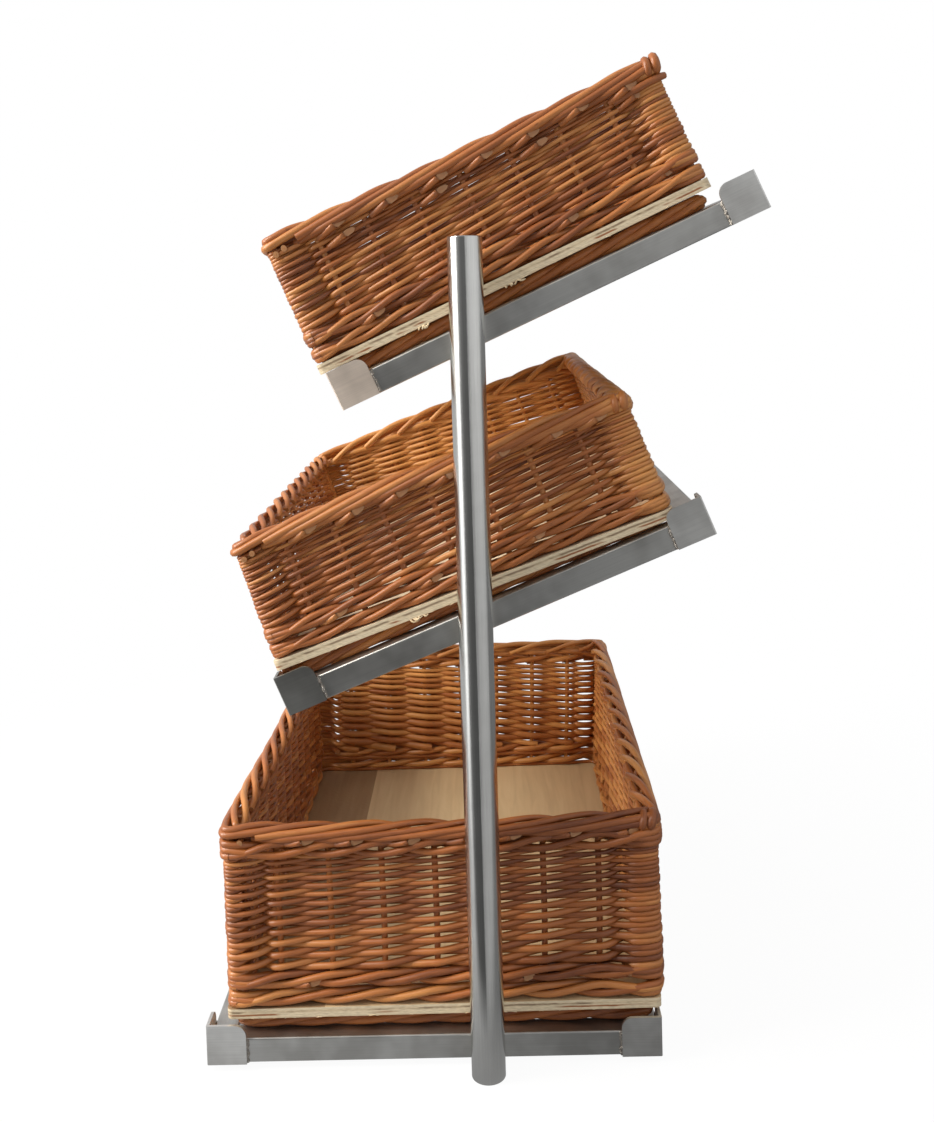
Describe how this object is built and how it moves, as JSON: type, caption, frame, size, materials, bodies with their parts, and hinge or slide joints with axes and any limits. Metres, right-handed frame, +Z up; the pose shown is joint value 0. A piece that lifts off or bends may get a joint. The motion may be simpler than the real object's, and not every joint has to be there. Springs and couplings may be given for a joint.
{
  "type": "bakery bread rack",
  "caption": "Countertop bakery rack of welded stainless steel that holds woven willow bread baskets on trays between two round posts, the upper trays sloping to the front.",
  "frame": {"origin": "on the surface that the rack stands on, under the middle of its bounding box", "axes": "+Z up; +X to the rack's right-hand side as seen by a customer who looks along +Y; +Y from the low front edge of the sloping trays to their high back edge"},
  "size_m": [0.7174, 0.5766, 0.9936],
  "materials": {
    "satin_steel": "satin, brushed along the tube",
    "bright_steel": "bright, nearly polished",
    "weld_steel": "uneven weld bead, lightly ground",
    "black_rubber": "matte",
    "birch_plywood": "bare, matte, light plies at the edge",
    "willow": "stained rods with a soft sheen"
  },
  "bodies": {
    "frame": {"lower_tray_left_tube": "satin_steel", "lower_tray_right_tube": "satin_steel", "lower_tray_front_tube": "satin_steel", "lower_tray_back_tube": "satin_steel", "middle_tray_left_tube": "satin_steel", "middle_tray_right_tube": "satin_steel", "middle_tray_front_tube": "satin_steel", "middle_tray_back_tube": "satin_steel", "upper_tray_left_tube": "satin_steel", "upper_tray_right_tube": "satin_steel", "upper_tray_front_tube": "satin_steel", "upper_tray_back_tube": "satin_steel", "lower_tray_bracket_front_left": "satin_steel", "lower_tray_bracket_front_right": "satin_steel", "lower_tray_bracket_back_left": "satin_steel", "lower_tray_bracket_back_right": "satin_steel", "middle_tray_bracket_front_left": "satin_steel", "middle_tray_bracket_front_right": "satin_steel", "middle_tray_bracket_back_left": "satin_steel", "middle_tray_bracket_back_right": "satin_steel", "upper_tray_bracket_front_left": "satin_steel", "upper_tray_bracket_front_right": "satin_steel", "upper_tray_bracket_back_left": "satin_steel", "upper_tray_bracket_back_right": "satin_steel", "left_post": "bright_steel", "right_post": "bright_steel", "post_end_caps": "bright_steel", "post_weld_beads": "weld_steel", "rubber_feet": "black_rubber"},
    "lower_basket": {"lower_basket_base_board": "birch_plywood", "lower_basket_foot_border": "willow", "lower_basket_front_wall": "willow", "lower_basket_back_wall": "willow", "lower_basket_left_wall": "willow", "lower_basket_right_wall": "willow", "lower_basket_corner_stakes": "willow", "lower_basket_rim_border": "willow"},
    "middle_basket": {"middle_basket_base_board": "birch_plywood", "middle_basket_foot_border": "willow", "middle_basket_front_wall": "willow", "middle_basket_back_wall": "willow", "middle_basket_left_wall": "willow", "middle_basket_right_wall": "willow", "middle_basket_corner_stakes": "willow", "middle_basket_rim_border": "willow"},
    "upper_basket": {"upper_basket_base_board": "birch_plywood", "upper_basket_foot_border": "willow", "upper_basket_front_wall": "willow", "upper_basket_back_wall": "willow", "upper_basket_left_wall": "willow", "upper_basket_right_wall": "willow", "upper_basket_corner_stakes": "willow", "upper_basket_rim_border": "willow"}
  },
  "joints": [
    {"name": "lower_basket_lift", "type": "slide", "parent": "frame", "child": "lower_basket", "axis": [0, 0, 1], "range_m": [0, 0.095]},
    {"name": "middle_basket_lift", "type": "slide", "parent": "frame", "child": "middle_basket", "axis": [0, -0.3725, 0.928], "range_m": [0, 0.065]},
    {"name": "upper_basket_lift", "type": "slide", "parent": "frame", "child": "upper_basket", "axis": [0, -0.4037, 0.9149], "range_m": [0, 0.25]}
  ]
}
